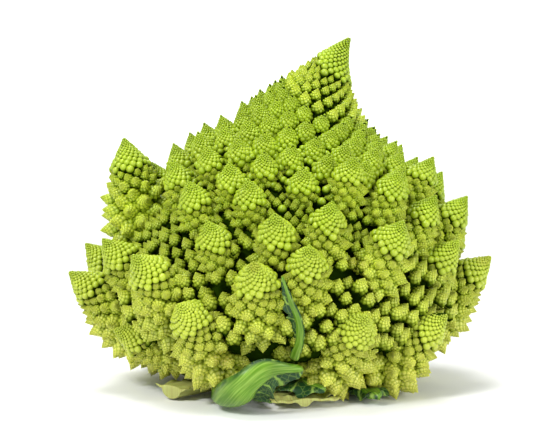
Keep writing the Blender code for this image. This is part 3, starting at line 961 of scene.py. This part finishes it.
def spot_group():
    """A mask with a ragged edge round one place on the object."""
    tree, nodes, given, result = new_group(
        "Bruise", {"Centre": "Vector", "Radius": "Float"}, ("Mask", "Float"),
    )
    place = nodes.place()
    away = nodes.add("VectorMath", {0: place, 1: given["Centre"]}, operation="DISTANCE").outputs["Value"]
    scale, reach, least = BRUISE_RAGS
    ragged = nodes.math("MULTIPLY_ADD", nodes.noise(place, scale, 3), reach, least)
    share = nodes.math("DIVIDE", away, nodes.math("MULTIPLY", given["Radius"], ragged))
    nodes.feed(result[0], nodes.between(share, *BRUISE_EDGE))
    return tree


def grain_group():
    """A fine height that keeps a surface from being perfectly smooth."""
    tree, nodes, given, result = new_group("Skin grain", {"Scale": "Float"}, ("Height", "Float"))
    nodes.feed(result[0], nodes.noise(nodes.place(), given["Scale"], 4))
    return tree


def bead_group():
    """The height of a round bead that fills the middle of a UV square."""
    tree, nodes, given, result = new_group("Bead", {"Cell": "Vector", "Radius": "Float"}, ("Height", "Float"))
    middle = {0: given["Cell"], 1: (*CELL_MIDDLE, 0.0)}
    away = nodes.add("VectorMath", middle, operation="DISTANCE").outputs["Value"]
    share = nodes.math("DIVIDE", away, given["Radius"])
    left = nodes.math("SUBTRACT", 1.0, nodes.math("MULTIPLY", share, share))
    nodes.feed(result[0], nodes.math("SQRT", nodes.math("MAXIMUM", left, 0.0)))
    return tree


def shared_group(name):
    makers = {"Mottle": mottle_group, "Bruise": spot_group, "Skin grain": grain_group, "Bead": bead_group}
    return bpy.data.node_groups.get(name) or makers[name]()


def new_material(name, fixed):
    """A material, its nodes, and its shader with the fixed inputs set."""
    material = bpy.data.materials.new(name)
    material.use_nodes = True
    nodes = Nodes(material.node_tree)
    shader = material.node_tree.nodes["Principled BSDF"]
    for socket, value in fixed.items():
        nodes.feed(shader.inputs[socket], value)
    return material, nodes, shader


def add_bump(nodes, shader, height, strength, distance):
    inputs = {"Height": height, "Strength": strength, "Distance": distance}
    nodes.feed(shader.inputs["Normal"], nodes.add("Bump", inputs).outputs[0])


def curd_material(name, colours):
    """Yellow-green buds with painted light on their tips and painted shade in the deep green gaps, paler low
    down and browned in a few places.
    """
    material, nodes, shader = new_material(name, CURD_FLESH)
    painted_light, tone, openness = (nodes.attribute(name) for name in ("painted_light", "tone", "open"))
    cell = nodes.add("UVMap", uv_map="cell").outputs[0]
    bead = nodes.group(shared_group("Bead"), {"Cell": cell, "Radius": 0.5})
    # lit is painted light: full on a bud's tip, with painted shade down its sides, round its beads and near
    # the middle. It blends the gap's painted shade through the bud colour to the lit tip.
    lit = nodes.math("MULTIPLY", painted_light, nodes.between(bead, *BEAD_LIGHT))
    lit = nodes.math("MULTIPLY", lit, nodes.between(openness, *OPEN_LIGHT))
    skin = nodes.mix(nodes.between(lit, *BUD_OVER_GAP), colours.gap, colours.bud)
    skin = nodes.mix(nodes.between(lit, *TIP_OVER_BUD), skin, colours.bud_tip)
    skin = nodes.mix(nodes.math("MULTIPLY", nodes.between(tone, *OLD_BUDS), lit), skin, colours.old_bud)
    height = nodes.add("SeparateXYZ", {0: nodes.place()}).outputs["Z"]
    lowness = nodes.between(height, *OLD_BUDS_BY_HEIGHT)
    skin = nodes.mix(nodes.math("MULTIPLY", lowness, lit), skin, colours.old_bud)
    skin = nodes.group(shared_group("Mottle"), {"Colour": skin, **CURD_PATCHES})
    for centre, radius in BRUISES:
        mask = nodes.group(shared_group("Bruise"), {"Centre": centre, "Radius": radius})
        share = nodes.math("MULTIPLY", mask, nodes.between(lit, *BRUISE_LIGHT))
        skin = nodes.mix(share, skin, colours.bruise)
    nodes.feed(shader.inputs["Base Color"], skin)
    grain = nodes.group(shared_group("Skin grain"), {"Scale": CURD_GRAIN})
    nodes.feed(shader.inputs["Roughness"], nodes.between(grain, *CURD_ROUGHNESS))
    nodes.feed(shader.inputs["Specular IOR Level"], nodes.between(lit, *CURD_SPECULAR))
    add_bump(nodes, shader, nodes.math("MULTIPLY_ADD", grain, GRAIN_RISE, bead), *CURD_BUMP)
    return material


def stem_material(name, colours):
    """Pale flesh with fibres along it, browned where it was cut or torn."""
    material, nodes, shader = new_material(name, STEM_FLESH)
    across, along = nodes.attribute("across"), nodes.attribute("along")
    fibres = nodes.noise(nodes.lengthways(across, along, STEM_SQUEEZE), STEM_FIBRES, 3)
    skin = nodes.mix(nodes.between(fibres, *DRIED_FIBRES), colours.stem, colours.dried)
    skin = nodes.group(shared_group("Mottle"), {"Colour": skin, **STEM_PATCHES})
    nodes.feed(shader.inputs["Base Color"], skin)
    nodes.feed(shader.inputs["Roughness"], nodes.between(fibres, *STEM_ROUGHNESS))
    add_bump(nodes, shader, fibres, *STEM_BUMP)
    return material


def leaf_material(name, colours):
    """A waxy dark blade with a pale midrib, side veins and a net of fine ones."""
    material, nodes, shader = new_material(name, LEAF_FLESH)
    across, along, rib = (nodes.attribute(name) for name in ("across", "along", "rib"))
    slant = nodes.math("MULTIPLY", nodes.math("ABSOLUTE", across), SIDE_VEIN_SLANT)
    scale, reach = SIDE_VEIN_WANDER
    wander = nodes.math("MULTIPLY", nodes.noise(nodes.place(), scale), reach)
    vein_place = nodes.math("ADD", nodes.math("SUBTRACT", along, slant), wander)
    phase = nodes.math("FRACT", nodes.math("MULTIPLY", vein_place, SIDE_VEINS))
    side_vein = nodes.math("ABSOLUTE", nodes.math("SUBTRACT", phase, 0.5))
    flat = nodes.add("CombineXYZ", {0: across, 1: along}).outputs[0]
    net = nodes.add("TexVoronoi", {"Vector": flat, **VEIN_NET}, feature="DISTANCE_TO_EDGE")
    net_mask = nodes.between(net.outputs["Distance"], *VEIN_NET_EDGE)
    veins = nodes.math("MAXIMUM", nodes.between(side_vein, *SIDE_VEIN_EDGE), net_mask)
    veins = nodes.math("MULTIPLY", veins, nodes.between(rib, *VEINS_BY_RIB))
    blade = nodes.group(shared_group("Mottle"), {"Colour": colours.leaf_blade, **BLADE_PATCHES})
    skin = nodes.mix(nodes.math("MULTIPLY", veins, VEIN_STRENGTH), blade, colours.leaf_vein)
    fibres = nodes.noise(nodes.lengthways(across, along, MIDRIB_SQUEEZE), LEAF_FIBRES)
    midrib = nodes.mix(nodes.between(fibres, *MIDRIB_FIBRES), colours.midrib, colours.leaf_vein)
    midrib = nodes.group(shared_group("Mottle"), {"Colour": midrib, **MIDRIB_PATCHES})
    skin = nodes.mix(nodes.between(rib, *MIDRIB_EDGE), skin, midrib)
    nodes.feed(shader.inputs["Base Color"], skin)
    nodes.feed(shader.inputs["Roughness"], nodes.between(veins, *LEAF_ROUGHNESS))
    rise = nodes.math("ADD", veins, nodes.math("MULTIPLY", fibres, FIBRE_RISE))
    add_bump(nodes, shader, rise, *LEAF_BUMP)
    return material


def length(name, description, default, least, most):
    return FloatProperty(
        name=name, description=description, unit="LENGTH", subtype="DISTANCE", default=default,
        min=least, max=most,
    )


def angle(name, description, default, most):
    return FloatProperty(
        name=name, description=description, unit="ROTATION", subtype="ANGLE",
        default=math.radians(default), min=0, max=math.radians(most),
    )


def colour(name, description, default):
    return FloatVectorProperty(
        name=name, description=description, subtype="COLOR", size=3, default=default, min=0, max=1,
    )


class CurdSizes(bpy.types.PropertyGroup):
    """The sizes of the head."""

    head_height: length(
        "Head height", "From the cut face of the stalk to the tip", CAD_BOX[1][2], 0.05, 0.3,
    )
    tip_sway: length("Tip sway", "How far the tip stands to the right of the stalk", 26 * MM, 0, 0.06)
    tip_lean: angle("Tip lean", "How far the tip leans to the right", 27, 60)
    single_florets: IntProperty(
        name="Single florets", description="How many of the lowest florets are pieces of their own",
        default=44, min=0, max=60,
    )
    group_size: IntProperty(
        name="Florets in a group", description="How many of the upper florets share a piece",
        default=12, min=1, max=40,
    )
    smallest_floret: length(
        "Smallest floret", "A narrower one is a single bud of the crown", 6.5 * MM, 3 * MM, 20 * MM,
    )


class LeafSizes(bpy.types.PropertyGroup):
    """The sizes of the trimmed leaves and the leaf stalks."""

    blade_thickness: length(
        "Blade thickness", "Thickness of the leaf blades", 0.9 * MM, 0.3 * MM, 3 * MM,
    )
    blade_ripple: length("Blade ripple", "Height of the ripples in the blades", 1.6 * MM, 0, 5 * MM)
    torn_edge: FloatProperty(
        name="Torn edge", description="How ragged the blades' edges are", subtype="FACTOR",
        default=0.55, min=0, max=1,
    )


class Colours(bpy.types.PropertyGroup):
    """The colours of the curd, the leaves and the floor."""

    # The gap colour is painted shade between the buds, and the bud tip colour is painted light on their tips.
    bud_tip: colour("Bud tip", "The sunlit tips of the buds", (0.47, 0.58, 0.015))
    bud: colour("Bud", "The sides of the buds", (0.22, 0.33, 0.004))
    gap: colour("Gap", "The gaps between the buds", (0.012, 0.03, 0.001))
    old_bud: colour("Old bud", "The paler, yellower buds low on the head", (0.62, 0.61, 0.09))
    bruise: colour("Bruise", "Browned places", (0.26, 0.16, 0.02))
    leaf_blade: colour("Leaf blade", "The waxy upper side of a leaf", (0.01, 0.045, 0.01))
    leaf_vein: colour("Leaf vein", "The veins of a leaf", (0.24, 0.38, 0.055))
    midrib: colour("Midrib", "The thick rib down the middle of a leaf", (0.085, 0.2, 0.006))
    stem: colour("Stem", "Leaf stalks and the stalk under the head", (0.43, 0.47, 0.13))
    dried: colour("Dried", "Stalks where they dried after the cut", (0.3, 0.21, 0.05))
    floor: colour("Floor", "The floor and the backdrop", (0.9, 0.9, 0.9))


class StudioSizes(bpy.types.PropertyGroup):
    """The camera and the lights."""

    camera_distance: length(
        "Camera distance", "From the middle of the head to the camera", 0.75, 0.2, 3,
    )
    camera_rise: angle("Camera rise", "How far the camera looks down", 6, 80)
    lens: FloatProperty(
        name="Lens", description="Focal length of the camera in millimetres", default=115, min=20, max=300,
    )
    key_power: FloatProperty(
        name="Key light", description="Power of the main soft light in watts", default=12, min=0, max=200,
    )


class Romanesco(bpy.types.PropertyGroup):
    """All the settings of the head."""

    curd: PointerProperty(type=CurdSizes)
    leaves: PointerProperty(type=LeafSizes)
    colours: PointerProperty(type=Colours)
    studio: PointerProperty(type=StudioSizes)


def shared_material(name, context):
    """The material of that name, made the first time that it is asked for."""
    makers = {"curd_skin": curd_material, "leaf_skin": leaf_material, "stem_skin": stem_material}
    return bpy.data.materials.get(name) or makers[name](name, context.scene.romanesco.colours)


class ROMANESCO_OT_florets(bpy.types.Operator):
    """Grow the florets of the head, from the widest row up to the crown"""

    bl_idname = "romanesco.florets"
    bl_label = "Florets"

    def execute(self, context):
        sizes = context.scene.romanesco.curd
        head = Head(sizes)
        florets = [floret for floret in head.florets() if floret.width >= sizes.smallest_floret]
        grower = Grower(head, florets)
        material = shared_material("curd_skin", context)
        groups = [[floret] for floret in florets[:sizes.single_florets]]
        rest = florets[sizes.single_florets:]
        groups += [rest[start:start + sizes.group_size] for start in range(0, len(rest), sizes.group_size)]
        for group in groups:
            mesh = bmesh.new()
            for floret in group:
                grower.grow_floret(mesh, floret)
            start = "floret_" if len(group) == 1 else "florets_from_"
            new_piece(f"{start}{group[0].number:02d}", mesh, material, "curd", "curd")
        between = bmesh.new()
        grower.grow_gap_buds(between, head)
        new_piece("buds_between", between, material, "curd", "curd")
        return {"FINISHED"}


class ROMANESCO_OT_crown(bpy.types.Operator):
    """Grow the crown's single buds and the core under all the florets"""

    bl_idname = "romanesco.crown"
    bl_label = "Crown and core"

    def execute(self, context):
        sizes = context.scene.romanesco.curd
        head = Head(sizes)
        material = shared_material("curd_skin", context)
        buds = Buds()
        draw = random.Random(CROWN_SEED)
        crown = bmesh.new()
        for floret in head.florets():
            if floret.width < sizes.smallest_floret:
                width = floret.width * draw.uniform(*CROWN_BUD_SPREAD)
                buds.lay(crown, floret.tip, floret.axis, width, draw, 1.0)
        new_piece("crown", crown, material, "curd", "curd")
        # The core has no painted light, so it is painted all over in the gaps' shade colour.
        new_piece("curd_core", core_mesh(head, CORE_DEPTH), material, "curd", "curd")
        return {"FINISHED"}


class ROMANESCO_OT_branches(bpy.types.Operator):
    """Grow the pale branches that carry the lowest florets"""

    bl_idname = "romanesco.branches"
    bl_label = "Branches"

    def execute(self, context):
        head = Head(context.scene.romanesco.curd)
        bodies = bmesh.new()
        out, up = BRANCH_START
        along, down = BRANCH_BEND
        for floret in head.florets()[:BRANCHES]:
            foot = Vector(floret.foot(BRANCH_END))
            turn = math.atan2(foot.y, foot.x)
            root = Vector((out * math.cos(turn), out * math.sin(turn), up))
            bend = root.lerp(foot, along) - Vector((0, 0, down * floret.width))
            radii = [share * floret.width for share in BRANCH_RADII]
            self.add_branch(bodies, (root, bend, foot), radii)
        new_piece("branches", bodies, shared_material("stem_skin", context), "curd", "curd")
        return {"FINISHED"}

    def add_branch(self, bodies, points, radii):
        """Adds a round branch through three points, with its radius at each of them."""
        line = smooth_line(points, BRANCH_STEPS)
        aheads = np.gradient(line, axis=0)
        turns = np.linspace(0, math.tau, BRANCH_SIDES, endpoint=False)
        circle = np.column_stack([np.cos(turns), np.sin(turns), np.zeros(BRANCH_SIDES)])
        sizes = np.interp(np.linspace(0, 2, len(line)), (0, 1, 2), radii)
        rings = []
        for point, ahead, size in zip(line, aheads, sizes):
            rings.append(point + (circle * size) @ basis_along(ahead / np.linalg.norm(ahead), 0).T)
        layers = {
            "across": np.tile(turns * radii[0], (len(line), 1)),
            "along": np.repeat(lengths_along(line)[:, None], BRANCH_SIDES, axis=1),
        }
        mesh = sheath(np.array(rings), layers)
        data = bpy.data.meshes.new("branch")
        mesh.to_mesh(data)
        mesh.free()
        bodies.from_mesh(data)
        bpy.data.meshes.remove(data)


class ROMANESCO_OT_stalk(bpy.types.Operator):
    """Turn the stump that the head was cut on"""

    bl_idname = "romanesco.stalk"
    bl_label = "Stalk"

    def execute(self, context):
        low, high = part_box("stalk")
        radius = (high.x - low.x) / 2
        mesh = spun_body([(-high.z * rise, radius * out) for rise, out in STALK_OUTLINE], STALK_SIDES)
        across = mesh.verts.layers.float.new("across")
        along = mesh.verts.layers.float.new("along")
        for vert in mesh.verts:
            turn = math.atan2(vert.co.y, vert.co.x)
            vert[across] = radius * turn
            vert[along] = vert.co.z
            ridges = sum((rise * math.sin(count * turn + first) for count, first, rise in STALK_RIDGES), 1)
            vert.co.x *= STALK_NARROWING * ridges
            vert.co.y *= STALK_NARROWING * ridges
        for face in mesh.faces:
            face.smooth = True
        new_piece("stalk_skin", mesh, shared_material("stem_skin", context), "stalk", "stalk")
        return {"FINISHED"}


class ROMANESCO_OT_leaves(bpy.types.Operator):
    """Grow the trimmed leaves and leaf stalks round the foot of the head"""

    bl_idname = "romanesco.leaves"
    bl_label = "Leaves"

    def execute(self, context):
        settings = context.scene.romanesco.leaves
        for name in LEAVES:
            leaf = Leaf(name, settings)
            kind, slot = ("stem_skin", "leaf_stem") if leaf.is_stem else ("leaf_skin", "leaf")
            new_piece(name + "_skin", sheath(*leaf.rings()), shared_material(kind, context), slot, name)
        return {"FINISHED"}


class ROMANESCO_OT_stage(bpy.types.Operator):
    """Set the floor, the backdrop, the lights and the camera"""

    bl_idname = "romanesco.stage"
    bl_label = "Stage"

    def execute(self, context):
        settings = context.scene.romanesco
        self.add_floor(context, settings.colours)
        self.add_world(context)
        for name, (place, size, share, target) in LIGHTS.items():
            self.add_light(context, name, place, size, share * settings.studio.key_power, target)
        self.add_camera(context, settings.studio)
        return {"FINISHED"}

    def add_floor(self, context, colours):
        """A floor that curves up into a wall behind the head."""
        material, nodes, shader = new_material("studio", PAPER)
        paper = nodes.group(shared_group("Mottle"), {"Colour": colours.floor, **FLOOR_PATCHES})
        nodes.feed(shader.inputs["Base Color"], paper)
        mesh = bmesh.new()
        bmesh.ops.create_grid(mesh, x_segments=2, y_segments=2, size=FLOOR_REACH)
        back = [edge for edge in mesh.edges if all(vert.co.y > FLOOR_REACH / 2 for vert in edge.verts)]
        raised = bmesh.ops.extrude_edge_only(mesh, edges=back)["geom"]
        corners = [item for item in raised if isinstance(item, bmesh.types.BMVert)]
        bmesh.ops.translate(mesh, vec=(0, 0, WALL_HEIGHT), verts=corners)
        bmesh.ops.bevel(
            mesh, geom=back, offset=FOLD_RADIUS, segments=FOLD_SEGMENTS, profile=0.5, affect="EDGES",
            material=-1,
        )
        for face in mesh.faces:
            face.smooth = True
        data = bpy.data.meshes.new("floor")
        mesh.to_mesh(data)
        mesh.free()
        data.materials.append(material)
        floor = bpy.data.objects.new("floor", data)
        context.scene.collection.objects.link(floor)

    def add_world(self, context):
        world = bpy.data.worlds.new("studio")
        world.use_nodes = True
        background = world.node_tree.nodes["Background"]
        background.inputs["Color"].default_value = SKY_COLOUR
        background.inputs["Strength"].default_value = SKY_STRENGTH
        context.scene.world = world
        context.scene.view_settings.view_transform = "Standard"

    def add_light(self, context, name, place, size, power, target):
        data = bpy.data.lights.new(name, "AREA")
        data.size = size
        data.energy = power
        light = bpy.data.objects.new(name, data)
        light.location = place
        aim = Vector(target) - light.location
        light.rotation_euler = aim.to_track_quat("-Z", "Y").to_euler()
        context.scene.collection.objects.link(light)

    def add_camera(self, context, studio):
        data = bpy.data.cameras.new("camera")
        data.lens = studio.lens
        camera = bpy.data.objects.new("camera", data)
        rise = studio.camera_rise
        away = Vector((0, -math.cos(rise), math.sin(rise)))
        camera.location = Vector(CAMERA_TARGET) + studio.camera_distance * away
        camera.rotation_euler = (-away).to_track_quat("-Z", "Y").to_euler()
        context.scene.collection.objects.link(camera)
        context.scene.camera = camera


class ROMANESCO_PT_panel(bpy.types.Panel):
    """Lists the settings and the steps that grow the head"""

    bl_label = "Romanesco head"
    bl_idname = "ROMANESCO_PT_panel"
    bl_space_type = "VIEW_3D"
    bl_region_type = "UI"
    bl_category = "Romanesco"

    def draw(self, context):
        settings = context.scene.romanesco
        for group in (settings.curd, settings.leaves, settings.colours, settings.studio):
            box = self.layout.box()
            box.label(text=group.bl_rna.description)
            for name in group.__annotations__:
                box.prop(group, name)
        for operator in OPERATORS:
            self.layout.operator(operator.bl_idname)


OPERATORS = (
    ROMANESCO_OT_florets, ROMANESCO_OT_crown, ROMANESCO_OT_branches, ROMANESCO_OT_stalk,
    ROMANESCO_OT_leaves, ROMANESCO_OT_stage,
)
SETTINGS = (CurdSizes, LeafSizes, Colours, StudioSizes, Romanesco)


def register():
    for item in (*SETTINGS, *OPERATORS, ROMANESCO_PT_panel):
        bpy.utils.register_class(item)
    bpy.types.Scene.romanesco = PointerProperty(type=Romanesco)


def unregister():
    del bpy.types.Scene.romanesco
    for item in reversed((*SETTINGS, *OPERATORS, ROMANESCO_PT_panel)):
        bpy.utils.unregister_class(item)


def main():
    register()
    bpy.ops.romanesco.florets()
    bpy.ops.romanesco.crown()
    bpy.ops.romanesco.branches()
    bpy.ops.romanesco.stalk()
    bpy.ops.romanesco.leaves()
    bpy.ops.romanesco.stage()


if __name__ == "__main__":
    main()
